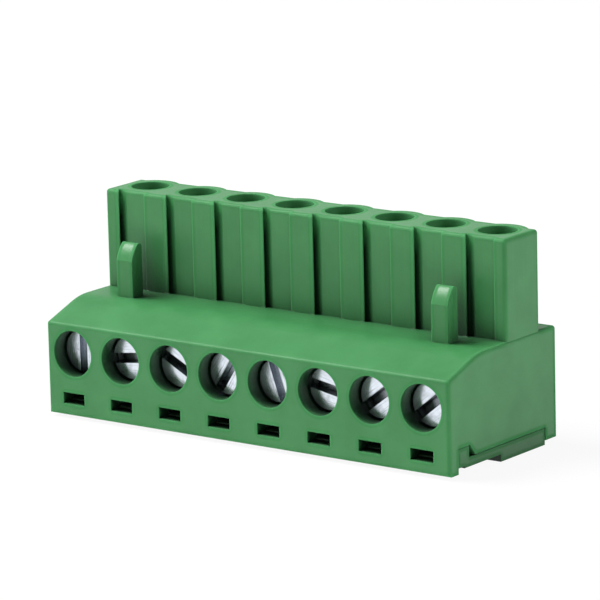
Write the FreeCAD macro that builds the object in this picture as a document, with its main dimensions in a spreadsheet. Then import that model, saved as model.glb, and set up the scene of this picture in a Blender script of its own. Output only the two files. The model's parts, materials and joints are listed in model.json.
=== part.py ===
import FreeCAD, Part
import math
import os
import re
import Sketcher

# Pluggable screw terminal block: the plug half, which stands on its wire side.
# X runs along the row of poles, the screws face -Y and the sockets open upwards.
# The origin is under the middle of the box, and every depth is measured back from the front face.

vector = FreeCAD.Vector

# Driving sizes, in millimetres and degrees
sizes = {
    # row of poles and outside
    "pitch": 5.08,
    "pole_count": 8,
    "end_margin": 0.15,
    "overall_depth": 15.1,
    "overall_height": 18.0,
    "front_wall_lift": 0.3,
    "rear_wall_lift": 0.38,
    "front_wall": 1.22,
    "rear_wall": 1.52,
    "well_roof": 0.34,
    "shoulder_roof": 0.93,
    "shoulder_slope": 19.5,
    "shoulder_radius": 6.0,
    "edge_radius": 0.25,
    # mating block
    "block_inset": 0.1,
    "block_front": 8.25,
    "block_back": 13.05,
    "recess_step": 0.3,
    "recess_left": 1.16,
    "recess_right": 1.5,
    "key_undercut": 0.35,
    "key_depth": 0.45,
    "key_ramp": 0.6,
    "rib_radius": 0.28,
    "socket_depth": 11.11,
    "socket_radius": 1.63,
    "scallop_inset": 0.07,
    # latch tabs
    "left_tab": 1.54,
    "right_tab": 1.82,
    "tab_width": 1.65,
    "tab_front": 5.35,
    "tab_thickness": 1.35,
    "tab_top": 14.15,
    "brow_rise": 1.4,
    "brow_back": 0.85,
    "brow_radius": 3.0,
    "tab_radius": 0.3,
    # screw well
    "screw_height": 5.65,
    "head_chamber_radius": 2.14,
    "well_lip": 0.17,
    "lip_length": 1.35,
    "head_depth": 1.45,
    "head_thickness": 1.65,
    "head_side_gap": 0.1,
    "head_back_gap": 0.2,
    "web_thickness": 0.8,
    # clamp screw
    "thread_radius": 1.45,
    "head_bevel": 0.26,
    "tip_gap": 0.15,
    "driver_slot_width": 0.8,
    "driver_slot_depth": 0.85,
    # clamp cage and its chamber
    "chamber_width": 4.1,
    "chamber_end_gap": 0.2,
    "chamber_back_gap": 0.35,
    "cage_side_gap": 0.1,
    "cage_front_gap": 0.25,
    "cage_travel": 2.2,
    "cage_height": 4.3,
    "cage_front_wall": 1.4,
    "cage_back_wall": 1.0,
    "cage_corner": 0.25,
    "thread_clearance": 0.1,
    "shank_clearance": 0.17,
    "wire_space": 2.8,
    # contact
    "strip_width": 2.4,
    "strip_thickness": 0.7,
    "strip_gap": 0.15,
    "strip_overhang": 0.2,
    "bend_radius": 0.15,
    "fold_slot_gap": 0.1,
    "fold_end_gap": 0.2,
    "leaf_width": 1.7,
    "leaf_thickness": 0.32,
    "leaf_root": 0.1,
    "leaf_foot_height": 1.06,
    "leaf_height": 6.8,
    "leaf_nip_height": 5.3,
    "pin_gap": 0.8,
    "leaf_flare": 0.3,
    # wire entry cap
    "seam_height": 1.45,
    "seam_gap": 0.05,
    "plate_bottom": 0.62,
    "pad_front": 7.2,
    "riser_height": 2.33,
    "riser_thickness": 1.55,
    "notch_run": 0.76,
    "foot_notch_length": 0.85,
    "foot_notch_height": 0.16,
    "collar_wall": 0.6,
    "collar_gap": 0.3,
    "wire_hole": 2.7,
    "funnel_mouth": 3.8,
    "funnel_depth": 1.5,
    # snap windows and hooks
    "window_width": 2.24,
    "window_height": 0.95,
    "window_bottom": 1.31,
    "hook_reach": 0.25,
    "hook_height": 0.2,
    "hook_tip_height": 0.1,
    "hook_gap": 0.08,
    # how far a cutting outline runs past its face, and how deep an added feature starts inside another
    "cut_margin": 1.0,
    "overlap": 0.2,
}

# Direction of each screw's driver slot at rest, in degrees up from +X seen from the front
slot_angles = [90, 7, -27, 57, -71, -10, 37, 39]

doc = FreeCAD.newDocument("terminal_block")
sheet = doc.addObject("Spreadsheet::Sheet", "Sizes")
for line, (alias, number) in enumerate(sizes.items(), 1):
    sheet.set("A%d" % line, alias)
    sheet.set("B%d" % line, str(number))
    sheet.setAlias("B%d" % line, alias)
for line, angle in enumerate(slot_angles, 1):
    sheet.set("C%d" % line, "slot_angle_%d" % line)
    sheet.set("D%d" % line, str(angle))
    sheet.setAlias("D%d" % line, "slot_angle_%d" % line)
doc.recompute()

# Sizes that follow from the driving ones, as expressions
half_width = "(pitch * pole_count / 2 + end_margin)"
first_pole = "(-pitch * (pole_count - 1) / 2)"
front = "(-overall_depth / 2)"
rear = "(overall_depth / 2)"
web_front = "(%s + head_depth + head_thickness + head_back_gap)" % front
chamber_front = "(%s + web_thickness)" % web_front
cage_front = "(%s + cage_front_gap + cage_travel)" % chamber_front
opening_front = "(%s + cage_front_wall)" % cage_front
strip_front = "(%s + strip_gap)" % opening_front
strip_back = "(%s + strip_thickness)" % strip_front
opening_back = "(%s + wire_space)" % strip_back
cage_back = "(%s + cage_back_wall)" % opening_back
chamber_back = "(%s + chamber_back_gap)" % cage_back
cage_bottom = "(screw_height - cage_height / 2)"
cage_top = "(screw_height + cage_height / 2)"
chamber_top = "(%s + chamber_end_gap)" % cage_top
fold_top = "(%s + strip_thickness)" % chamber_top
socket_y = "(%s + socket_depth)" % front
fold_back = "(%s + leaf_width / 2 + fold_slot_gap)" % socket_y
wire_y = "((%s + %s) / 2)" % (strip_back, opening_back)
recess_y = "(%s + block_front + recess_step)" % front
cap_rear = "(%s - rear_wall - seam_gap)" % rear
cap_top = "(seam_height - seam_gap)"
riser_back = "(%s + front_wall + seam_gap + riser_thickness)" % front
front_edge = "(screw_height + head_chamber_radius + well_roof)"
shoulder = "(%s + shoulder_roof)" % fold_top
rib_y = "(%s + block_front)" % front

# Two lengths this close count as one
tolerance = 1e-4


def bound(text):
    """The expression with each alias written as the sheet's own."""
    return re.sub(r"[a-z][a-z_0-9]*", lambda m: "Sizes." + m.group(0), str(text))


def value(text):
    return float(sheet.evalExpression(bound(text)))


def body(name):
    made = doc.addObject("PartDesign::Body", name)
    made.Label = name
    return made


def origin_feature(owner, role):
    return [item for item in owner.Origin.OriginFeatures if item.Role == role][0]


def sketch(owner, name, plane, offset="0", shift="0"):
    """An empty sketch on an origin plane of the body, moved along the plane's normal and vertical."""
    made = owner.newObject("Sketcher::SketchObject", name)
    made.AttachmentSupport = [(origin_feature(owner, plane), "")]
    made.MapMode = "FlatFace"
    made.setExpression("AttachmentOffset.Base.z", bound(offset))
    made.setExpression("AttachmentOffset.Base.y", bound(shift))
    return made


def pin_point(made, geometry, end, across, up):
    """Fix one point of a sketch by two bound distances from its origin."""
    for kind, text in (("DistanceX", across), ("DistanceY", up)):
        index = made.addConstraint(Sketcher.Constraint(kind, -1, 1, geometry, end, value(text)))
        made.setExpression("Constraints[%d]" % index, bound(text))


def arc_between(start, end, radius):
    """The arc that leaves start turning left and ends at end."""
    chord = end - start
    inward = vector(-chord.y, chord.x, 0).normalize() * math.sqrt(radius ** 2 - (chord.Length / 2) ** 2)
    centre = start + chord * 0.5 + inward
    first = math.atan2(start.y - centre.y, start.x - centre.x)
    last = math.atan2(end.y - centre.y, end.x - centre.x)
    return Part.ArcOfCircle(Part.Circle(centre, vector(0, 0, 1), radius), first, last)


def outline(owner, name, plane, points, offset="0", shift="0", bends=None):
    """A closed outline through bound points; bends gives the radius of a side that is an arc."""
    made = sketch(owner, name, plane, offset, shift)
    bends = bends or {}
    spots = [vector(value(across), value(up), 0) for across, up in points]
    count = len(spots)
    for index in range(count):
        start, end = spots[index], spots[(index + 1) % count]
        side = arc_between(start, end, value(bends[index])) if index in bends else Part.LineSegment(start, end)
        made.addGeometry(side, False)
    for index in range(count):
        made.addConstraint(Sketcher.Constraint("Coincident", index, 2, (index + 1) % count, 1))
    for index, (across, up) in enumerate(points):
        pin_point(made, index, 1, across, up)
    for side, radius in bends.items():
        index = made.addConstraint(Sketcher.Constraint("Radius", side, value(radius)))
        made.setExpression("Constraints[%d]" % index, bound(radius))
    return made


def rectangle(owner, name, plane, left, right, low, high, offset="0", shift="0"):
    corners = [(left, low), (right, low), (right, high), (left, high)]
    return outline(owner, name, plane, corners, offset, shift)


def circle(owner, name, plane, across, up, radius, offset="0"):
    made = sketch(owner, name, plane, offset)
    centre = vector(value(across), value(up), 0)
    made.addGeometry(Part.Circle(centre, vector(0, 0, 1), value(radius)), False)
    pin_point(made, 0, 3, across, up)
    index = made.addConstraint(Sketcher.Constraint("Radius", 0, value(radius)))
    made.setExpression("Constraints[%d]" % index, bound(radius))
    return made


def pad(owner, name, profile, length, middle=False, back=False):
    made = owner.newObject("PartDesign::Pad", name)
    made.Profile = profile
    made.setExpression("Length", bound(length))
    made.Midplane = middle
    made.Reversed = back
    doc.recompute()
    return made


def must_cut(owner, before, name):
    """A cut that takes nothing shows no error of its own, so the volumes are compared."""
    if owner.Shape.Volume >= before:
        raise RuntimeError(name + " cuts nothing")


def pocket(owner, name, profile, length, middle=False, back=False):
    """Cut against the sketch's normal, or along it when back is set."""
    before = owner.Shape.Volume
    made = owner.newObject("PartDesign::Pocket", name)
    made.Profile = profile
    made.setExpression("Length", bound(length))
    made.Midplane = middle
    made.Reversed = back
    doc.recompute()
    must_cut(owner, before, name)
    return made


def turn_about_x(owner, kind, name, profile):
    """Turn a profile a full circle about its sketch's horizontal axis."""
    made = owner.newObject(kind, name)
    made.Profile = profile
    made.ReferenceAxis = (profile, ["H_Axis"])
    made.Angle = 360
    doc.recompute()
    return made


def row(owner, name, originals):
    """Repeat features along X, one for each pole."""
    made = owner.newObject("PartDesign::LinearPattern", name)
    made.Originals = originals
    made.Direction = (origin_feature(owner, "X_Axis"), [""])
    made.setExpression("Length", bound("pitch * (pole_count - 1)"))
    made.setExpression("Occurrences", bound("pole_count"))
    owner.Tip = made
    doc.recompute()
    return made


def mirrored(owner, name, original):
    """A second copy of a feature across the plane X = 0."""
    made = owner.newObject("PartDesign::Mirrored", name)
    made.Originals = [original]
    made.MirrorPlane = (origin_feature(owner, "YZ_Plane"), [""])
    owner.Tip = made
    doc.recompute()
    return made


def work_edges(owner, kind, name, measure, size, wanted):
    """Round or bevel the edges that the test picks out of the body as it stands."""
    base = owner.Tip
    names = ["Edge%d" % index for index, edge in enumerate(base.Shape.Edges, 1) if wanted(edge)]
    made = owner.newObject(kind, name)
    made.Base = (base, names)
    made.setExpression(measure, bound(size))
    doc.recompute()


def soften(owner, name, radius, wanted):
    work_edges(owner, "PartDesign::Fillet", name, "Radius", radius, wanted)


def bevel(owner, name, size, wanted):
    work_edges(owner, "PartDesign::Chamfer", name, "Size", size, wanted)


def near(number, text):
    return abs(number - value(text)) < tolerance


def straight_along(edge, axis):
    """Is this edge's box a line along the axis, 0 for X, 1 for Y, 2 for Z?"""
    box = edge.BoundBox
    spans = [box.XLength, box.YLength, box.ZLength]
    return spans.pop(axis) > tolerance and max(spans) < tolerance


# Main housing: the end outline is carried along the whole row, with the shoulder's arc in it
def shoulder_outline(owner):
    made = sketch(owner, "EndOutline", "YZ_Plane")
    turn = math.radians(value("shoulder_slope"))
    radius = value("shoulder_radius")
    level = value(shoulder)
    arc_low = level - radius * (1 - math.cos(turn))
    arc_start = value(front) + (arc_low - value(front_edge)) / math.tan(turn)
    centre = vector(arc_start + radius * math.sin(turn), level - radius, 0)
    corners = [
        (front, "front_wall_lift"),
        (front, front_edge),
        None,
        None,
        (rear, shoulder),
        (rear, "rear_wall_lift"),
        (rear + " - rear_wall", "rear_wall_lift"),
        (rear + " - rear_wall", "seam_height"),
        (riser_back + " + notch_run", "seam_height"),
        (riser_back, "riser_height + seam_gap"),
        (front + " + front_wall", "riser_height + seam_gap"),
        (front + " + front_wall", "front_wall_lift"),
    ]
    slope, arc, flat = 1, 2, 3
    spots = [vector(value(spot[0]), value(spot[1]), 0) if spot else None for spot in corners]
    spots[arc] = vector(arc_start, arc_low, 0)
    spots[flat] = vector(centre.x, level, 0)
    for index, spot in enumerate(spots):
        if index == arc:
            ring = Part.Circle(centre, vector(0, 0, 1), radius)
            shape = Part.ArcOfCircle(ring, math.pi / 2, math.pi / 2 + turn)
        else:
            shape = Part.LineSegment(spot, spots[(index + 1) % len(spots)])
        made.addGeometry(shape, False)
    # the arc runs from the flat down to the slope
    made.addConstraint(Sketcher.Constraint("Tangent", slope, 2, arc, 2))
    made.addConstraint(Sketcher.Constraint("Tangent", arc, 1, flat, 1))
    for index in range(len(spots)):
        if index not in (slope, arc):
            made.addConstraint(Sketcher.Constraint("Coincident", index, 2, (index + 1) % len(spots), 1))
    made.addConstraint(Sketcher.Constraint("Horizontal", flat))
    index = made.addConstraint(Sketcher.Constraint("Radius", arc, radius))
    made.setExpression("Constraints[%d]" % index, bound("shoulder_radius"))
    index = made.addConstraint(Sketcher.Constraint("Angle", slope, turn))
    made.setExpression("Constraints[%d]" % index, bound("shoulder_slope") + " * 1 deg")
    for index, spot in enumerate(corners):
        if spot:
            pin_point(made, index, 1, spot[0], spot[1])
    return made


def main_housing():
    made = body("main_housing")
    pad(made, "LowerBody", shoulder_outline(made), half_width + " * 2", middle=True)

    def outer_edge(edge):
        box = edge.BoundBox
        on_front = near(box.YMax, front) and (straight_along(edge, 0) or straight_along(edge, 2))
        slope = box.XLength < tolerance and near(box.ZMin, front_edge)
        return on_front or slope

    soften(made, "FrontEdges", "edge_radius", outer_edge)

    # mating block with a round wall behind each socket, both grown from inside the shoulder
    rise = "overall_height - %s" % fold_top
    side = half_width + " - block_inset"
    block = rectangle(
        made, "BlockOutline", "XY_Plane", "-(%s)" % side, side, rib_y, front + " + block_back", fold_top,
    )
    pad(made, "Block", block, rise)
    wall = circle(
        made, "SocketWallOutline", "XY_Plane", first_pole, socket_y, "pitch / 2 - scallop_inset", fold_top,
    )
    row(made, "SocketWalls", [pad(made, "SocketWall", wall, rise)])

    def corner_edge(edge):
        box = edge.BoundBox
        return straight_along(edge, 2) and near(abs(box.XMin), side) and near(box.ZMax, "overall_height")

    soften(made, "BlockCorners", "edge_radius", corner_edge)

    # front of the block: a recess for each pole between the ribs
    front_height = "overall_height - " + shoulder
    recess = rectangle(
        made, "RecessOutline", "XY_Plane", first_pole + " - recess_left", first_pole + " + recess_right",
        rib_y + " - cut_margin", recess_y, "overall_height",
    )
    recess_cut = pocket(made, "Recess", recess, front_height)

    # screw well, turned about the screw's axis: lip, head chamber, then the web's hole
    turned = outline(
        made, "WellSection", "YZ_Plane",
        [
            (front + " - cut_margin", "0"),
            (chamber_front + " + overlap", "0"),
            (chamber_front + " + overlap", "thread_radius + shank_clearance"),
            (web_front, "thread_radius + shank_clearance"),
            (web_front, "head_chamber_radius"),
            (front + " + lip_length", "head_chamber_radius"),
            (front + " + lip_length", "head_chamber_radius - well_lip"),
            (front + " - cut_margin", "head_chamber_radius - well_lip"),
        ],
        offset=first_pole, shift="screw_height",
    )
    before = made.Shape.Volume
    well = turn_about_x(made, "PartDesign::Groove", "Well", turned)
    must_cut(made, before, "Well")

    chamber = rectangle(
        made, "ChamberOutline", "XY_Plane",
        first_pole + " - chamber_width / 2", first_pole + " + chamber_width / 2",
        chamber_front, chamber_back, "0",
    )
    chamber_cut = pocket(made, "CageChamber", chamber, chamber_top, back=True)
    window = rectangle(
        made, "WindowOutline", "XZ_Plane",
        first_pole + " - window_width / 2", first_pole + " + window_width / 2",
        "window_bottom", "window_bottom + window_height", "-(%s) + cut_margin" % front,
    )
    window_cut = pocket(made, "SnapWindow", window, "cut_margin + front_wall + seam_gap")
    fold = rectangle(
        made, "FoldSlotOutline", "XY_Plane",
        first_pole + " - strip_width / 2 - fold_slot_gap", first_pole + " + strip_width / 2 + fold_slot_gap",
        strip_front + " - fold_slot_gap", fold_back + " + fold_end_gap", fold_top,
    )
    fold_cut = pocket(made, "FoldSlot", fold, "strip_thickness + overlap")
    hole = circle(made, "SocketOutline", "XY_Plane", first_pole, socket_y, "socket_radius", "overall_height")
    socket_cut = pocket(made, "Socket", hole, "overall_height - %s" % chamber_top)
    row(made, "Poles", [recess_cut, well, chamber_cut, window_cut, fold_cut, socket_cut])

    def rib_edge(edge):
        box = edge.BoundBox
        if not near(box.ZMax, "overall_height"):
            return False
        return straight_along(edge, 0) and (near(box.YMin, rib_y) or near(box.YMin, recess_y))

    soften(made, "RibEdges", "rib_radius", rib_edge)

    # coding groove left of each recess: it undercuts the rib there and runs out in a ramp
    edge_x = first_pole + " - recess_left"
    groove = outline(
        made, "KeyOutline", "XY_Plane",
        [
            (edge_x, rib_y),
            (edge_x + " + key_ramp", recess_y),
            (edge_x, rib_y + " + key_depth"),
            (edge_x + " - key_undercut", rib_y + " + key_depth"),
        ],
        "overall_height",
    )
    row(made, "KeyGrooves", [pocket(made, "KeyGroove", groove, front_height)])

    # latch tabs on the shoulder, one near each end, each with a bulging brow
    tab_y = front + " + tab_front"
    tab_rear = tab_y + " + tab_thickness"
    for name, place in (("LeftTab", first_pole + " + left_tab"), ("RightTab", "-%s - right_tab" % first_pole)):
        profile = outline(
            made, name + "Outline", "YZ_Plane",
            [
                (tab_y, fold_top),
                (tab_rear, fold_top),
                (tab_rear, "tab_top"),
                (tab_y + " + brow_back", "tab_top"),
                (tab_y, "tab_top - brow_rise"),
            ],
            offset=place, bends={3: "brow_radius"},
        )
        pad(made, name, profile, "tab_width", middle=True)

    def tab_rear_edge(edge):
        box = edge.BoundBox
        return straight_along(edge, 0) and near(box.ZMin, "tab_top") and near(box.YMin, tab_rear)

    soften(made, "TabRearEdges", "tab_radius", tab_rear_edge)
    return made


# Wire entry cap: plate, riser and pad carried along the row, then a collar, a hook and a funnel a pole
def wire_entry_cap():
    made = body("wire_entry_cap")
    cap_front = front + " + front_wall + seam_gap"
    section = outline(
        made, "CapSection", "YZ_Plane",
        [
            (cap_front, "plate_bottom + foot_notch_height"),
            (cap_front, "riser_height"),
            (riser_back + " - seam_gap", "riser_height"),
            (riser_back + " - seam_gap", cap_top),
            (cap_rear, cap_top),
            (cap_rear, "0"),
            (front + " + pad_front", "0"),
            (front + " + pad_front", "plate_bottom"),
            (cap_front + " + foot_notch_length", "plate_bottom"),
            (cap_front + " + foot_notch_length", "plate_bottom + foot_notch_height"),
        ],
    )
    pad(made, "Plate", section, half_width + " * 2 - seam_gap * 2", middle=True)
    collar_top = cage_bottom + " - strip_overhang - collar_gap"
    collar_half = "(wire_hole / 2 + collar_wall)"
    collar = rectangle(
        made, "CollarOutline", "XY_Plane",
        first_pole + " - " + collar_half, first_pole + " + " + collar_half,
        wire_y + " - " + collar_half, wire_y + " + " + collar_half, cap_top + " - overlap",
    )
    collar_pad = pad(made, "Collar", collar, "%s - %s + overlap" % (collar_top, cap_top))
    hook_bottom = "window_bottom + hook_gap"
    hook = outline(
        made, "HookOutline", "YZ_Plane",
        [
            (cap_front + " + overlap", hook_bottom),
            (cap_front + " + overlap", hook_bottom + " + hook_height"),
            (cap_front, hook_bottom + " + hook_height"),
            (cap_front + " - hook_reach", hook_bottom + " + hook_tip_height"),
            (cap_front + " - hook_reach", hook_bottom),
        ],
        offset=first_pole,
    )
    hook_pad = pad(made, "Hook", hook, "window_width - hook_gap * 2", middle=True)
    row(made, "CollarsAndHooks", [collar_pad, hook_pad])
    # behind each window the riser is open, all but the hook
    notch = rectangle(
        made, "WindowNotchOutline", "XZ_Plane",
        first_pole + " - window_width / 2", first_pole + " + window_width / 2",
        hook_bottom + " + hook_height", "riser_height + cut_margin", "-(%s)" % cap_front,
    )
    notch_cut = pocket(made, "WindowNotch", notch, "riser_thickness")
    throat = rectangle(
        made, "ThroatOutline", "XY_Plane",
        first_pole + " - wire_hole / 2", first_pole + " + wire_hole / 2",
        wire_y + " - wire_hole / 2", wire_y + " + wire_hole / 2", "0",
    )
    throat_cut = pocket(made, "Throat", throat, collar_top + " + cut_margin", back=True)
    mouth = rectangle(
        made, "MouthOutline", "XY_Plane",
        first_pole + " - funnel_mouth / 2", first_pole + " + funnel_mouth / 2",
        wire_y + " - funnel_mouth / 2", wire_y + " + funnel_mouth / 2", "0",
    )
    funnel = pocket(made, "Funnel", mouth, "funnel_depth", back=True)
    funnel.setExpression("TaperAngle", "-atan(%s)" % bound("(funnel_mouth - wire_hole) / 2 / funnel_depth"))
    doc.recompute()
    row(made, "WireEntries", [notch_cut, throat_cut, funnel])
    return made


def at_pole(made, pole):
    """Move a piece modelled at X = 0 to its pole."""
    made.setExpression("Placement.Base.x", bound("pitch * (%d - (pole_count + 1) / 2)" % pole))
    return made


# Clamp screw: head and shank turned about the well's axis, then the driver slot
def clamp_screw(pole):
    made = body("clamp_screw_%d" % pole)
    head_face = front + " + head_depth"
    head_back = head_face + " + head_thickness"
    tip = strip_front + " - tip_gap"
    head_radius = "(head_chamber_radius - head_side_gap)"
    section = outline(
        made, "ScrewSection", "YZ_Plane",
        [
            (head_face, "0"),
            (head_face, head_radius + " - head_bevel"),
            (head_face + " + head_bevel", head_radius),
            (head_back, head_radius),
            (head_back, "thread_radius"),
            (tip, "thread_radius"),
            (tip, "0"),
        ],
        shift="screw_height",
    )
    turn_about_x(made, "PartDesign::Revolution", "Turned", section)
    slot = rectangle(
        made, "DriverSlotOutline", "XZ_Plane",
        "-head_chamber_radius", "head_chamber_radius", "-driver_slot_width / 2", "driver_slot_width / 2",
        "-(%s)" % head_face, "screw_height",
    )
    angle_number = (pole - 1) % len(slot_angles) + 1
    slot.setExpression("AttachmentOffset.Rotation.Angle", "Sizes.slot_angle_%d * 1 deg" % angle_number)
    slot.setExpression("AttachmentOffset.Rotation.Axis.x", "0")
    slot.setExpression("AttachmentOffset.Rotation.Axis.z", "1")
    pocket(made, "DriverSlot", slot, "driver_slot_depth")
    return at_pole(made, pole)


# Clamp cage: a folded box open along Z, with the screw's hole in its front wall
def clamp_cage(pole):
    made = body("clamp_cage_%d" % pole)
    half = "(chamber_width / 2 - cage_side_gap)"
    block = rectangle(made, "CageOutline", "XY_Plane", "-" + half, half, cage_front, cage_back, cage_bottom)
    pad(made, "CageBlock", block, "cage_height")

    def upright(edge):
        return straight_along(edge, 2)

    bevel(made, "CageCorners", "cage_corner", upright)
    # the screw's end runs between the side walls as the cage comes forward
    opening_half = "(thread_radius + thread_clearance)"
    opening = rectangle(
        made, "OpeningOutline", "XY_Plane", "-" + opening_half, opening_half,
        opening_front, opening_back, cage_top,
    )
    pocket(made, "Opening", opening, "cage_height")
    hole = circle(
        made, "ThreadOutline", "XZ_Plane", "0", "screw_height", "thread_radius + thread_clearance",
        "-(%s)" % cage_front,
    )
    pocket(made, "ThreadHole", hole, "cage_front_wall")
    return at_pole(made, pole)


# Contact: a strip down through the cage, folded back under the socket, with two spring leaves
def contact(pole):
    made = body("contact_%d" % pole)
    section = outline(
        made, "StripSection", "YZ_Plane",
        [
            (strip_front, cage_bottom + " - strip_overhang"),
            (strip_back, cage_bottom + " - strip_overhang"),
            (strip_back, chamber_top),
            (fold_back, chamber_top),
            (fold_back, fold_top),
            (strip_front, fold_top),
        ],
    )
    pad(made, "Strip", section, "strip_width", middle=True)

    def inner_bend(edge):
        box = edge.BoundBox
        return straight_along(edge, 0) and near(box.YMin, strip_back) and near(box.ZMin, chamber_top)

    def outer_bend(edge):
        box = edge.BoundBox
        return straight_along(edge, 0) and near(box.YMin, strip_front) and near(box.ZMin, fold_top)

    soften(made, "InnerBend", "bend_radius", inner_bend)
    soften(made, "OuterBend", "bend_radius + strip_thickness", outer_bend)
    nip = "(%s + leaf_nip_height)" % fold_top
    leaf = outline(
        made, "LeafSection", "XZ_Plane",
        [
            ("strip_width / 2 - leaf_thickness", fold_top + " - leaf_root"),
            ("strip_width / 2", fold_top + " - leaf_root"),
            ("strip_width / 2", fold_top + " + leaf_foot_height"),
            ("pin_gap / 2 + leaf_thickness", nip),
            ("pin_gap / 2 + leaf_thickness + leaf_flare", fold_top + " + leaf_height"),
            ("pin_gap / 2 + leaf_flare", fold_top + " + leaf_height"),
            ("pin_gap / 2", nip),
            ("strip_width / 2 - leaf_thickness", fold_top + " + leaf_foot_height"),
        ],
        "-(%s)" % socket_y,
    )
    mirrored(made, "Leaves", pad(made, "RightLeaf", leaf, "leaf_width", middle=True))
    return at_pole(made, pole)


pieces = [main_housing(), wire_entry_cap()]
for pole in range(1, int(value("pole_count")) + 1):
    pieces.append(clamp_screw(pole))
    pieces.append(clamp_cage(pole))
    pieces.append(contact(pole))
doc.recompute()

for item in doc.Objects:
    if "Invalid" in item.State or "Error" in item.State:
        raise RuntimeError("%s is in state %s" % (item.Label, item.State))
for piece in pieces:
    if piece.Shape.isNull() or not piece.Shape.isValid():
        raise RuntimeError(piece.Label + " has no valid shape")
    if len(piece.Shape.Solids) != 1:
        raise RuntimeError(piece.Label + " is not one solid")

os.makedirs("parts", exist_ok=True)
for piece in pieces:
    piece.Shape.exportStep(os.path.join("parts", piece.Label + ".step"))
    box = piece.Shape.BoundBox
    print("%-16s volume %8.3f  x %.2f..%.2f  y %.2f..%.2f  z %.2f..%.2f" % (
        piece.Label, piece.Shape.Volume, box.XMin, box.XMax, box.YMin, box.YMax, box.ZMin, box.ZMax))
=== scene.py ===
import json
import math

import bmesh
import bpy
import numpy as np
from mathutils import Matrix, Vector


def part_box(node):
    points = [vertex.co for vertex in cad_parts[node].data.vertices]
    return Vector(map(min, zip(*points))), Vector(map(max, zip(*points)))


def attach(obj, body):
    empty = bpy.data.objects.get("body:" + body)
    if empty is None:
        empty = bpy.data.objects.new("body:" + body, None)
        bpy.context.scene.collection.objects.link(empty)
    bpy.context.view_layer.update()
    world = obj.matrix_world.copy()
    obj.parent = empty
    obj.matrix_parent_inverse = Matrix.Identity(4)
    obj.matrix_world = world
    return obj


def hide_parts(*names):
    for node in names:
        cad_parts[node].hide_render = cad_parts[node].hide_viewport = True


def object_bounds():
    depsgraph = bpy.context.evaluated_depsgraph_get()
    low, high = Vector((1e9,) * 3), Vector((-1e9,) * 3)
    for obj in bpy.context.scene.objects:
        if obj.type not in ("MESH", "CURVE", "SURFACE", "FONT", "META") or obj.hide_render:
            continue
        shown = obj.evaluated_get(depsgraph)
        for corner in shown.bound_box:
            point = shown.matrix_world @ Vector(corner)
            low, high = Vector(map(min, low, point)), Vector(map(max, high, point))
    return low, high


# Eight-pole pluggable terminal block: finishes, threaded clamp screws, bent contacts,
# floor, light and camera
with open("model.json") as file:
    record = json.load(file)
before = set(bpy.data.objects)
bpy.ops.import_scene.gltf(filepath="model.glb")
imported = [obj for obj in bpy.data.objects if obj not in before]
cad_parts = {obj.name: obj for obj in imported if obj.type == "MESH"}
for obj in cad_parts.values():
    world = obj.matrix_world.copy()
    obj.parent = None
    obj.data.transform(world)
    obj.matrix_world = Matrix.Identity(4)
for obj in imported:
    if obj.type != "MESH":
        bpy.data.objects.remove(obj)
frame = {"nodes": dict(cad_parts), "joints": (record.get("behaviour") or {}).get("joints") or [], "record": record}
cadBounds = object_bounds()
nodes = frame["nodes"]
poles = [joint for joint in frame["joints"] if joint["type"] == "hinge"]
mm = 0.001
print("frame loaded:", len(nodes), "nodes,", len(poles), "poles")


# Mesh helpers
mergeDistance = 0.0005 * mm


def gridQuads(rows, columns, closed, first):
    # one quad for each cell of a grid of point numbers that start at first; closed joins the last
    # column back to the first
    numbers = first + np.arange(rows * columns).reshape(rows, columns)
    across = np.roll(numbers, -1, axis=1) if closed else numbers[:, 1:]
    here = numbers if closed else numbers[:, :-1]
    quads = np.stack([here[:-1], across[:-1], across[1:], here[1:]], axis=-1)
    return quads.reshape(-1, 4)


def makePiece(name, grids, smoothAngle):
    # every grid is a rows x columns x 3 array with a flag that says whether its rows are closed rings;
    # edges sharper than the angle, in degrees, stay sharp
    points, quads, count = [], [], 0
    for grid, closed in grids:
        rows, columns = grid.shape[:2]
        quads.append(gridQuads(rows, columns, closed, count))
        points.append(grid.reshape(-1, 3))
        count += rows * columns
    mesh = bpy.data.meshes.new(name)
    mesh.from_pydata(np.concatenate(points).tolist(), [], np.concatenate(quads).tolist())
    build = bmesh.new()
    build.from_mesh(mesh)
    bmesh.ops.remove_doubles(build, verts=build.verts, dist=mergeDistance)
    bmesh.ops.dissolve_degenerate(build, edges=build.edges, dist=mergeDistance)
    bmesh.ops.recalc_face_normals(build, faces=build.faces)
    build.to_mesh(mesh)
    build.free()
    mesh.shade_smooth()
    mesh.set_sharp_from_angle(angle=math.radians(smoothAngle))
    piece = bpy.data.objects.new(name, mesh)
    bpy.context.scene.collection.objects.link(piece)
    return piece


def mapVertices(mesh, name, mapping):
    # a UV map worked out from each corner's own place
    places = np.empty(len(mesh.vertices) * 3)
    mesh.vertices.foreach_get("co", places)
    corners = np.empty(len(mesh.loops), dtype=np.int64)
    mesh.loops.foreach_get("vertex_index", corners)
    flat = mapping(places.reshape(-1, 3))[corners]
    mesh.uv_layers.new(name=name).data.foreach_set("uv", flat.astype(np.float32).ravel())


# Material helpers
occlusionSamples = 12


def newMaterial(name):
    material = bpy.data.materials.new(name)
    material.use_nodes = True
    material.node_tree.nodes.clear()
    return material


def addNode(material, kind, values=None, **settings):
    # values maps a socket's name or number to a number, a colour or another node's output
    made = material.node_tree.nodes.new("ShaderNode" + kind)
    for key, setting in settings.items():
        setattr(made, key, setting)
    for key, given in (values or {}).items():
        if isinstance(given, bpy.types.NodeSocket):
            material.node_tree.links.new(given, made.inputs[key])
        else:
            made.inputs[key].default_value = given
    return made


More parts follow.
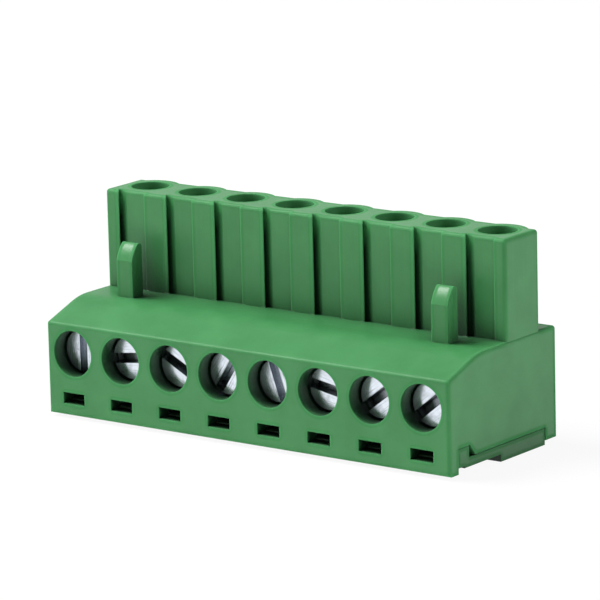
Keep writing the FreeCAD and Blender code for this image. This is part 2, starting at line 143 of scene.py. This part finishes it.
def inMillimetres(material, stretch=(1, 1, 1)):
    # the point's place in the frame in millimetres; a small factor draws the pattern out along that axis
    place = addNode(material, "TexCoord").outputs["Object"]
    scale = tuple(factor / mm for factor in stretch)
    return addNode(material, "Mapping", {"Vector": place, "Scale": scale}).outputs["Vector"]


def noise(material, where, scale, detail, roughness):
    values = {"Vector": where, "Scale": scale, "Detail": detail, "Roughness": roughness}
    return addNode(material, "TexNoise", values).outputs["Fac"]


def spread(material, source, low, high, fromLow=0.0, fromHigh=1.0):
    # runs from low to high while the source runs from fromLow to fromHigh, and stays there beyond
    values = {"Value": source, "From Min": fromLow, "From Max": fromHigh, "To Min": low, "To Max": high}
    return addNode(material, "MapRange", values).outputs["Result"]


def blendColours(material, factor, first, second):
    return addNode(material, "Mix", {0: factor, 6: first, 7: second}, data_type="RGBA").outputs[2]


def blendValues(material, factor, first, second):
    return addNode(material, "Mix", {0: factor, 2: first, 3: second}, data_type="FLOAT").outputs[0]


def occlusion(material, reach, **settings):
    # 1 where nothing lies within reach of the surface, towards 0 where walls close it in
    settings["samples"] = occlusionSamples
    return addNode(material, "AmbientOcclusion", {"Distance": reach}, **settings).outputs["AO"]


def calculate(material, operation, first, second):
    return addNode(material, "Math", {0: first, 1: second}, operation=operation).outputs[0]


def closeMaterial(material, shader):
    addNode(material, "OutputMaterial", {"Surface": shader.outputs[0]})
    return material


def linear(red, green, blue):
    # the linear colour of a tone read in 0..255 display values
    tone = np.array([red, green, blue]) / 255
    return tuple(np.where(tone <= 0.04045, tone / 12.92, ((tone + 0.055) / 1.055) ** 2.4)) + (1.0,)


# Moulded polyamide of the housing and the cap. A pattern is given by its noise's scale (features in
# each millimetre), detail and roughness.
housingLook = {
    "green": linear(64, 139, 80),
    "shade": linear(56, 130, 72),
    "deep": linear(3, 40, 17),          # painted shade in hollows and wide corners
    "edge": linear(104, 188, 126),      # painted highlight on thin outer edges, in place of light passing through them
    "clouds": (0.3, 4.0, 0.55),
    "streaks": (1.5, 3.0, 0.6),
    "streakStretch": (2.6, 2.6, 0.05),  # thin and upright
    "streakHeight": (9.6, 11.1),        # millimetres; from the shoulder up the streaks show more
    "streakShare": (0.05, 0.25),
    "flowRange": (0.36, 0.64),          # of the noise, from full shade to full green
    "hollowReach": 10.0 * mm,
    "hollowOpen": (0.30, 0.54),         # occlusion of a hollow in full painted shade and of an open face without it
    "hollowOwn": True,                  # hollows count only walls of the same piece
    "hollowRoughness": 0.55,
    "cornerOpen": (0.45, 0.85),         # painted shade in wide corners, such as the foot of the block, reaches this far out
    "cornerShade": 0.68,
    "mouthHeight": (15.6, 17.2),        # millimetres; painted shade on the sockets' walls fades out up to here
    "thinReach": 0.42 * mm,             # plastic this thin gets the painted edge highlight
    "thinOpen": (0.85, 0.50),           # inner occlusion from no painted edge highlight to all of it
    "edgeShare": 0.22,
    "edgeWidth": 0.16 * mm,             # of the rounding that the light shows on sharp edges
    "edgeSamples": 6,
    "roundOpen": (0.99, 0.90),          # inner occlusion from a flat face to a rounded edge
    "wornOpen": (0.99, 0.80),           # and from the face's roughness to the edge's
    "edgeRoughness": 1.0,
    "patches": (3.0, 3.0, 0.5),         # of the face's roughness
    "roughness": (0.32, 0.44),
    "grain": (24.0, 2.0, 0.6),
    "grainDepth": 0.005 * mm,
    "grainStrength": 0.5,
    "ior": 1.5,
    "scatterWeight": 0.08,
    "scatterColours": (0.4, 1.0, 0.4),  # green goes furthest into the plastic
    "scatterDepth": 0.4 * mm,
}
capLook = dict(housingLook, hollowOwn=False, hollowOpen=(0.33, 0.60), roughness=(0.30, 0.42))


def flowColour(material, look, place, height):
    # flow clouds, and upright flow streaks above the shoulder
    share = spread(material, height, *look["streakShare"], *look["streakHeight"])
    clouds = noise(material, place, *look["clouds"])
    streaks = noise(material, inMillimetres(material, look["streakStretch"]), *look["streaks"])
    flow = blendValues(material, share, clouds, streaks)
    green = spread(material, flow, 0, 1, *look["flowRange"])
    return blendColours(material, green, look["shade"], look["green"])


def hollowOpenness(material, look, height):
    # painted shade mask: 0 deep in a hollow, less than 1 in a wide corner, 1 on open faces and at the sockets'
    # mouths
    hollow = occlusion(material, look["hollowReach"], only_local=look["hollowOwn"])
    deepOpen = spread(material, hollow, 0, 1, *look["hollowOpen"])
    corner = spread(material, hollow, look["cornerShade"], 1, *look["cornerOpen"])
    mouth = spread(material, height, 0, 1, *look["mouthHeight"])
    return calculate(material, "MAXIMUM", calculate(material, "MULTIPLY", deepOpen, corner), mouth)


def mouldedNormal(material, look, place, thin):
    # outer edges are rounded, inner corners stay sharp, and a fine grain lies over both
    rounded = addNode(material, "Bevel", {"Radius": look["edgeWidth"]}, samples=look["edgeSamples"])
    flat = addNode(material, "NewGeometry")
    outer = spread(material, thin, 0, 1, *look["roundOpen"])
    normals = {0: outer, 4: flat.outputs["Normal"], 5: rounded.outputs["Normal"]}
    bevel = addNode(material, "Mix", normals, data_type="VECTOR").outputs[1]
    return addNode(material, "Bump", {
        "Height": noise(material, place, *look["grain"]),
        "Distance": look["grainDepth"],
        "Strength": look["grainStrength"],
        "Normal": bevel,
    }).outputs["Normal"]


def mouldedPlastic(name, look):
    # flow colour, with a painted highlight and more roughness on thin outer edges, and painted shade in hollows
    # and wide corners
    material = newMaterial(name)
    place = inMillimetres(material)
    height = addNode(material, "SeparateXYZ", {"Vector": place}).outputs["Z"]
    colour = flowColour(material, look, place, height)
    openness = hollowOpenness(material, look, height)
    thin = occlusion(material, look["thinReach"], inside=True, only_local=True)
    # painted highlight on thin outer edges, kept out of the painted shade
    paintedEdgeLight = spread(material, thin, 0, look["edgeShare"], *look["thinOpen"])
    colour = blendColours(material, calculate(material, "MULTIPLY", paintedEdgeLight, openness), colour, look["edge"])
    # painted shade in hollows and wide corners
    colour = blendColours(material, openness, look["deep"], colour)

    roughness = spread(material, noise(material, place, *look["patches"]), *look["roughness"])
    worn = spread(material, thin, 0, 1, *look["wornOpen"])
    roughness = blendValues(material, worn, roughness, look["edgeRoughness"])
    shader = addNode(material, "BsdfPrincipled", {
        "Base Color": colour,
        "Roughness": blendValues(material, openness, look["hollowRoughness"], roughness),
        "IOR": look["ior"],
        "Subsurface Weight": look["scatterWeight"],
        "Subsurface Radius": look["scatterColours"],
        "Subsurface Scale": look["scatterDepth"],
        "Normal": mouldedNormal(material, look, place, thin),
    })
    return closeMaterial(material, shader)


# Zinc-plated clamp screws
screwLook = {
    "zinc": linear(230, 238, 247),
    "dull": linear(176, 184, 196),
    "sawn": linear(104, 110, 122),
    # painted shade in the slot and between the thread's turns
    "paintedScrewShade": linear(16, 18, 22),
    "mottle": (1.0, 3.0, 0.5),
    "dullShare": (0, 0.5),
    "dullRange": (0.5, 0.75),           # of the mottle, from bright zinc to the dull share
    "roughness": (0.12, 0.26),
    "roughRange": (0.3, 0.7),
    "sawLines": (1.3, 4.0, 0.65),
    "sawStretch": (0.25, 9.0, 1.0),     # long along the slot, close across it
    "sawRange": (0.36, 0.48),           # of the noise, from a dark line to bare zinc
    "lineDepth": 0.012 * mm,
    "lineStrength": (0.1, 0.8),         # on a face with no saw marks and on one full of them
    "hollowReach": 1.2 * mm,
    "hollowOpen": (0.25, 0.85),
    "sawnShadeLift": 0.7,                # sawn faces take this much of the painted shade away
}


def zincPlate(name, look):
    # saw lines run along the driver slot, so the pattern reads the piece's own map, whose first axis
    # lies along the slot
    material = newMaterial(name)
    along = addNode(material, "UVMap", uv_map="alongSlot").outputs["UV"]
    stretched = addNode(material, "Mapping", {"Vector": along, "Scale": look["sawStretch"]})
    lines = noise(material, stretched.outputs["Vector"], *look["sawLines"])
    mottle = noise(material, inMillimetres(material), *look["mottle"])
    share = addNode(material, "Attribute", attribute_name="sawn").outputs["Fac"]
    dull = spread(material, mottle, *look["dullShare"], *look["dullRange"])
    colour = blendColours(material, dull, look["zinc"], look["dull"])
    line = calculate(material, "MULTIPLY", spread(material, lines, 1, 0, *look["sawRange"]), share)
    colour = blendColours(material, line, colour, look["sawn"])
    # painted shade in the slot and thread, less on sawn faces
    hollow = occlusion(material, look["hollowReach"], only_local=True)
    openness = spread(material, hollow, 0, 1, *look["hollowOpen"])
    shadeLift = calculate(material, "MULTIPLY", share, look["sawnShadeLift"])
    unshaded = calculate(material, "MAXIMUM", openness, shadeLift)
    bump = addNode(material, "Bump", {
        "Height": lines,
        "Distance": look["lineDepth"],
        "Strength": spread(material, share, *look["lineStrength"]),
    })
    shader = addNode(material, "BsdfPrincipled", {
        "Base Color": blendColours(material, unshaded, look["paintedScrewShade"], colour),
        "Metallic": 1.0,
        "Roughness": spread(material, mottle, *look["roughness"], *look["roughRange"]),
        "Normal": bump.outputs["Normal"],
    })
    return closeMaterial(material, shader)


# Nickel-plated cages and tin-plated contacts, both from rolled sheet
cageLook = {
    "bright": linear(196, 197, 196),
    "dark": linear(140, 141, 142),
    "roughness": (0.24, 0.42),
    "rolling": (2.0, 4.0, 0.6),
    "rollingStretch": (0.3, 0.3, 6.0),  # level lines
    "rollingDepth": 0.004 * mm,
    "rollingStrength": 0.5,
    "mottle": (1.1, 5.0, 0.6),
    "mottleRange": (0.35, 0.65),
}
contactLook = dict(
    cageLook,
    bright=linear(206, 204, 196),
    dark=linear(160, 157, 148),
    roughness=(0.30, 0.48),
    rollingStretch=(5.0, 0.4, 0.4),     # lines along the leaves
)


def rolledSheet(name, look):
    # mottled plate with fine rolling lines, which also vary its roughness
    material = newMaterial(name)
    rolling = noise(material, inMillimetres(material, look["rollingStretch"]), *look["rolling"])
    mottle = noise(material, inMillimetres(material), *look["mottle"])
    bright = spread(material, mottle, 0, 1, *look["mottleRange"])
    bump = addNode(material, "Bump", {
        "Height": rolling,
        "Distance": look["rollingDepth"],
        "Strength": look["rollingStrength"],
    })
    shader = addNode(material, "BsdfPrincipled", {
        "Base Color": blendColours(material, bright, look["dark"], look["bright"]),
        "Metallic": 1.0,
        "Roughness": spread(material, rolling, *look["roughness"]),
        "Normal": bump.outputs["Normal"],
    })
    return closeMaterial(material, shader)


finishes = {
    "housing": mouldedPlastic("mouldedHousing", housingLook),
    "cap": mouldedPlastic("mouldedCap", capLook),
    "screw": zincPlate("zincScrew", screwLook),
    "cage": rolledSheet("nickelCage", cageLook),
    "contact": rolledSheet("tinContact", contactLook),
}
for row in frame["record"]["subparts"]:
    mesh = nodes[row["node"]].data
    mesh.materials.clear()
    mesh.materials.append(finishes[row["material_slot"]])
print("finishes made:", ", ".join(finishes))


# Clamp screws: a slotted, bevelled head and a threaded shank in one closed surface
screwShape = {
    "slotWidth": 0.8 * mm,
    "slotDepth": 0.85 * mm,
    "slotEdge": 0.03 * mm,
    "bevel": 0.26 * mm,
    "backBevel": 0.08 * mm,
    "headThickness": 1.65 * mm,
    "crestRadius": 1.45 * mm,
    "rootRadius": 1.17 * mm,
    "threadPitch": 0.5 * mm,
    "rootFlat": 0.375,      # of a wave from 0 to 2: the root is flat up to here, the crest from 1 above
    "runOut": 0.8,          # pitches in which the thread fades out under the head
    "tipLength": 0.4 * mm,
    "tipCut": 0.6,          # share of the thread's height by which the tip is narrower
    "smoothAngle": 30,
    "ringsInPitch": 6,
    "linesOnSide": 18,
    "linesInSlot": 5,
    "columns": 24,
}
# each screw stands where the last turn left it: slot direction in degrees up from +X, seen from the
# front, and how much the saw has marked its face
slotAngles = [90, 7, -27, 57, -71, -10, 37, 39]
sawMarks = [0.9, 0.25, 0.2, 0.8, 0.8, 0.25, 0.4, 0.3]


def headLines(shape, radius):
    # lines across the face run along the slot; each has a distance across the slot and a depth below the
    # face, and they draw together towards the rim as a cosine does, so the outline stays round
    half, edge, depth = shape["slotWidth"] / 2, shape["slotEdge"], shape["slotDepth"]
    steps = np.linspace(0, 1, shape["linesOnSide"])
    side = radius * np.cos(steps * math.acos((half + edge) / radius))
    floor = np.linspace(half - edge, edge - half, shape["linesInSlot"])
    across = np.concatenate([side, [half, half], floor, [-half, -half], -side[::-1]])
    level = np.zeros(len(side))
    slot = [edge, depth - edge] + [depth] * len(floor) + [depth - edge, edge]
    return across, np.concatenate([level, slot, level])


def threadRings(shape, angles, start, end):
    # radius = root + (crest - root) x a flat-topped wave of (distance / pitch + turn), right-handed,
    # which fades out under the head and narrows to the tip
    count = int(round((end - start) / shape["threadPitch"] * shape["ringsInPitch"])) + 1
    along = np.linspace(start, end, count)[:, None]
    turn = (along / shape["threadPitch"] + angles[None, :] / (2 * math.pi)) % 1
    wave = np.clip(2 * (1 - np.abs(2 * turn - 1)) - shape["rootFlat"], 0, 1)
    fadeIn = np.clip((along - start) / (shape["runOut"] * shape["threadPitch"]), 0, 1)
    narrow = np.clip((along - end + shape["tipLength"]) / shape["tipLength"], 0, 1)
    height = shape["crestRadius"] - shape["rootRadius"]
    radius = shape["rootRadius"] + height * wave * fadeIn - shape["tipCut"] * height * narrow
    return along, radius


def screwGrids(shape, box, centre, degrees):
    # made round its own axis from the face down, then turned by the slot's angle and set in the
    # node's box
    low, high = box
    outer = (high[0] - low[0]) / 2
    inner = outer - shape["bevel"]
    across, depth = headLines(shape, inner)
    chord = np.sqrt(np.maximum(inner ** 2 - across ** 2, 0))
    steps = np.linspace(-1, 1, shape["columns"])
    face = np.stack(np.broadcast_arrays(chord[:, None] * steps, across[:, None], depth[:, None]), -1)

    # the rim: down the right side of the lines, back up the left; outside the slot it spreads to the
    # outer radius
    rimAcross = np.concatenate([across, across[::-1]])
    rimDepth = np.concatenate([depth, depth[::-1]])
    side = np.concatenate([np.ones(len(across)), -np.ones(len(across))])
    rimLength = side * np.concatenate([chord, chord[::-1]])
    half = shape["slotWidth"] / 2 + shape["slotEdge"]
    share = np.clip((np.abs(rimAcross) - half) / (inner - half), 0, 1)
    wideAcross = rimAcross * (1 + (outer / inner - 1) * share)
    wideLength = side * np.sqrt(np.maximum(outer ** 2 - wideAcross ** 2, 0))
    angles = np.arctan2(wideAcross, wideLength)

    def ring(radius, level):
        depths = np.full(len(angles), level)
        return np.stack([radius * np.cos(angles), radius * np.sin(angles), depths], -1)

    end = high[1] - low[1]
    back = shape["headThickness"]
    rings = [
        np.stack([rimLength, rimAcross, rimDepth], -1),
        np.stack([wideLength, wideAcross, np.maximum(rimDepth, shape["bevel"])], -1),
        ring(outer, back - shape["backBevel"]),
        ring(outer - shape["backBevel"], back),
    ]
    along, radius = threadRings(shape, angles, back, end)
    rings += [ring(radius[index], along[index, 0]) for index in range(len(along))]
    rings.append(ring(0.0, end))

    turn = math.radians(degrees)
    placed = []
    for grid, closed in ((face, False), (np.stack(rings), True)):
        x = centre[0] + grid[..., 0] * math.cos(turn) - grid[..., 1] * math.sin(turn)
        z = centre[2] + grid[..., 0] * math.sin(turn) + grid[..., 1] * math.cos(turn)
        placed.append((np.stack([x, low[1] + grid[..., 2], z], -1), closed))
    return placed


def slotMap(centre, degrees):
    # millimetres from the screw's axis, along the slot and across it
    turn = math.radians(degrees)
    lengthwise = np.array([math.cos(turn), 0, math.sin(turn)]) / mm
    crosswise = np.array([-math.sin(turn), 0, math.cos(turn)]) / mm

    def mapping(places):
        fromCentre = places - np.array(centre)
        return np.stack([fromCentre @ lengthwise, fromCentre @ crosswise], -1)

    return mapping


for number, joint in enumerate(poles, 1):
    node = "clamp_screw_%d" % number
    degrees = slotAngles[number - 1]
    centre = joint["pos_m"]
    box = [tuple(corner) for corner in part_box(node)]
    grids = screwGrids(screwShape, box, centre, degrees)
    screw = makePiece("slotted_screw_%d" % number, grids, screwShape["smoothAngle"])
    mapVertices(screw.data, "alongSlot", slotMap(centre, degrees))
    marks = np.full(len(screw.data.vertices), sawMarks[number - 1], dtype=np.float32)
    screw.data.attributes.new("sawn", "FLOAT", "POINT").data.foreach_set("value", marks)
    screw.data.materials.append(finishes["screw"])
    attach(screw, "screw_%d" % number)
    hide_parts(node)
print("screws made:", len(poles), "with", len(screw.data.polygons), "faces each")


# Contacts: a strip bent back over the clamp cage, and two spring leaves that curve in to the pin
contactShape = {
    "stripWidth": 2.4 * mm,
    "stripThickness": 0.7 * mm,
    "stripBend": 0.5 * mm,
    "leafWidth": 1.7 * mm,
    "leafThickness": 0.32 * mm,
    "leafRoot": 0.1 * mm,
    "leafFoot": 1.06 * mm,
    "nipHeight": 5.3 * mm,
    "pinGap": 0.8 * mm,
    "flare": 0.3 * mm,
    "leafHeight": 6.8 * mm,
    "leafBackGap": 0.1 * mm,
    "cornerRadius": 0.07 * mm,
    "smoothAngle": 50,
    "stepsInCorner": 3,
    "pointsInRise": 6,
    "stepsInBend": 8,
    "pointsInBack": 5,
    "pointsInLeaf": 28,
}


def roundedSection(width, thickness, radius, steps):
    # a rectangle whose corners are quarter circles, as pairs: along the width, along the thickness
    corners = []
    for quarter, (side, face) in enumerate(((1, 1), (-1, 1), (-1, -1), (1, -1))):
        turn = math.pi / 2 * (quarter + np.linspace(0, 1, steps + 1))
        middle = np.array([side * (width / 2 - radius), face * (thickness / 2 - radius)])
        corners.append(middle + radius * np.stack([np.cos(turn), np.sin(turn)], -1))
    return np.concatenate(corners)


def ribbon(path, across, section):
    # section carried along a path: its width lies along the fixed direction across, its thickness square
    # to that and to the path
    heading = np.gradient(path, axis=0)
    heading = heading / np.linalg.norm(heading, axis=1)[:, None]
    outward = np.cross(across, heading)
    rings = path[:, None, :] + section[None, :, :1] * across + section[None, :, 1:] * outward[:, None, :]
    starts = np.broadcast_to(path[0], rings[:1].shape)
    ends = np.broadcast_to(path[-1], rings[:1].shape)
    return np.concatenate([starts, rings, ends]), True


def contactGrids(shape, box):
    low, high = np.array(box[0]), np.array(box[1])
    radius, steps = shape["cornerRadius"], shape["stepsInCorner"]
    middle = (low[0] + high[0]) / 2
    half = shape["stripThickness"] / 2
    bend = shape["stripBend"]
    foldTop = high[2] - shape["leafHeight"]

    # strip: up, round a quarter circle, back under the socket
    turn = np.linspace(0, math.pi / 2, shape["stepsInBend"] + 1)
    curve = np.stack([
        low[1] + half + bend * (1 - np.cos(turn)), foldTop - half - bend * (1 - np.sin(turn)),
    ], -1)
    rise = np.linspace([low[1] + half, low[2]], curve[0], shape["pointsInRise"])[:-1]
    back = np.linspace(curve[-1], [high[1], foldTop - half], shape["pointsInBack"])[1:]
    line = np.concatenate([rise, curve, back])
    path = np.column_stack([np.full(len(line), middle), line])
    section = roundedSection(shape["stripWidth"], shape["stripThickness"], radius, steps)
    grids = [ribbon(path, np.array([1.0, 0, 0]), section)]

    # leaf: its distance from the pin eases from the foot in to the nip as a cosine, then opens in
    # a flare
    section = roundedSection(shape["leafWidth"], shape["leafThickness"], radius, steps)
    height = np.linspace(-shape["leafRoot"], shape["leafHeight"], shape["pointsInLeaf"])
    away = (shape["stripWidth"] - shape["leafThickness"]) / 2
    nip = (shape["pinGap"] + shape["leafThickness"]) / 2
    ease = np.clip((height - shape["leafFoot"]) / (shape["nipHeight"] - shape["leafFoot"]), 0, 1)
    flare = np.clip((height - shape["nipHeight"]) / (shape["leafHeight"] - shape["nipHeight"]), 0, 1)
    offset = nip + (away - nip) * (1 + np.cos(math.pi * ease)) / 2 + shape["flare"] * flare ** 2
    depth = high[1] - shape["leafBackGap"] - shape["leafWidth"] / 2
    for side in (-1, 1):
        path = np.column_stack([middle + side * offset, np.full(len(height), depth), foldTop + height])
        grids.append(ribbon(path, np.array([0, 1.0, 0]), section))
    return grids


for number in range(1, len(poles) + 1):
    node = "contact_%d" % number
    box = [tuple(corner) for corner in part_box(node)]
    grids = contactGrids(contactShape, box)
    spring = makePiece("bent_contact_%d" % number, grids, contactShape["smoothAngle"])
    spring.data.materials.append(finishes["contact"])
    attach(spring, "housing")
    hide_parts(node)
print("contacts made:", len(poles), "with", len(spring.data.polygons), "faces each")


# Floor, light and camera
stageLook = {
    "floorSize": 1.2,
    "white": (1.0, 1.0, 1.0, 1.0),
    "floorTone": (0.88, 0.88, 0.88, 1.0),
    "floorRoughness": 0.9,
    "floorGlow": 0.92,          # share of plain white in what the camera and mirrors see of the floor
    "roomLight": 0.36,          # strength of the white room as a lamp; seen or mirrored, it is 1
    "ceilingShade": 0.15,       # share of that strength overhead
    "ceilingRise": (0.22, 0.50),    # how far upwards (0 level, 1 straight up) it starts and is full
    "lampTarget": (0, 0, 0.008),
}
lampLooks = [
    {"name": "overheadSoftbox", "power": 6.2, "size": 0.35, "place": (-0.33, -0.14, 0.53)},
    {"name": "rightFill", "power": 1.0, "size": 0.30, "place": (0.50, 0.08, 0.24)},
]


def seenOrMirrored(owner):
    # 1 for what the camera sees, straight, in a mirror or through glass, and 0 for what only gives light
    path = addNode(owner, "LightPath").outputs
    mirrored = calculate(owner, "MAXIMUM", path["Is Glossy Ray"], path["Is Transmission Ray"])
    return calculate(owner, "MAXIMUM", path["Is Camera Ray"], mirrored)


def makeFloor(look, level):
    half = look["floorSize"] / 2
    mesh = bpy.data.meshes.new("studio_floor")
    corners = [(-half, -half, level), (half, -half, level), (half, half, level), (-half, half, level)]
    mesh.from_pydata(corners, [], [(0, 1, 2, 3)])
    floor = bpy.data.objects.new("studio_floor", mesh)
    bpy.context.scene.collection.objects.link(floor)
    material = newMaterial("studioWhite")
    matt = addNode(material, "BsdfPrincipled", {
        "Base Color": look["floorTone"],
        "Roughness": look["floorRoughness"],
    })
    glow = addNode(material, "Emission", {"Color": look["white"], "Strength": 1.0})
    share = calculate(material, "MULTIPLY", seenOrMirrored(material), look["floorGlow"])
    shader = addNode(material, "MixShader", {0: share, 1: matt.outputs[0], 2: glow.outputs[0]})
    closeMaterial(material, shader)
    mesh.materials.append(material)


def axesMatrix(right, up, back, place):
    return Matrix([[right[i], up[i], back[i], place[i]] for i in range(3)] + [[0, 0, 0, 1]])


def aimedMatrix(place, target):
    # looks from place to target with the top upwards
    back = np.array(place) - np.array(target)
    back = back / np.linalg.norm(back)
    right = np.cross([0, 0, 1], back)
    right = right / np.linalg.norm(right)
    return axesMatrix(right, np.cross(back, right), back, place)


makeFloor(stageLook, cadBounds[0][2])
for look in lampLooks:
    lamp = bpy.data.lights.new(look["name"], "AREA")
    lamp.energy = look["power"]
    lamp.size = look["size"]
    holder = bpy.data.objects.new(look["name"], lamp)
    holder.matrix_world = aimedMatrix(look["place"], stageLook["lampTarget"])
    bpy.context.scene.collection.objects.link(holder)

world = bpy.data.worlds.new("whiteRoom")
world.use_nodes = True
room = world.node_tree.nodes["Background"]
room.inputs["Color"].default_value = stageLook["white"]
level = spread(world, seenOrMirrored(world), stageLook["roomLight"], 1.0)
heading = addNode(world, "TexCoord").outputs["Generated"]
rise = addNode(world, "SeparateXYZ", {"Vector": heading}).outputs["Z"]
ceiling = spread(world, rise, 1.0, stageLook["ceilingShade"], *stageLook["ceilingRise"])
world.node_tree.links.new(calculate(world, "MULTIPLY", level, ceiling), room.inputs["Strength"])
bpy.context.scene.world = world
bpy.context.scene.view_settings.view_transform = "Standard"

cameraView = {
    "place": (0.22976, -0.30520, 0.09783),
    "azimuth": math.radians(36.96),
    "elevation": math.radians(12.90),
    "roll": math.radians(-1.41),
    "lens": 285.94,
    "sensor": 36.0,
    "shift": (0.0047, 0.0103),
    "nearest": 0.01,
}


def makeCamera(view):
    # back, level and rising are the camera's axes before the roll
    azimuth, elevation, roll = view["azimuth"], view["elevation"], view["roll"]
    outward = math.cos(elevation)
    back = np.array([math.sin(azimuth) * outward, -math.cos(azimuth) * outward, math.sin(elevation)])
    level = np.array([math.cos(azimuth), math.sin(azimuth), 0])
    rising = np.cross(back, level)
    right = math.cos(roll) * level + math.sin(roll) * rising
    up = -math.sin(roll) * level + math.cos(roll) * rising
    data = bpy.data.cameras.new("photo_camera")
    data.sensor_width = view["sensor"]
    data.lens = view["lens"]
    data.shift_x, data.shift_y = view["shift"]
    data.clip_start = view["nearest"]
    camera = bpy.data.objects.new("photo_camera", data)
    camera.matrix_world = axesMatrix(right, up, back, view["place"])
    bpy.context.scene.collection.objects.link(camera)
    bpy.context.scene.camera = camera


makeCamera(cameraView)
print("floor, light and camera made")
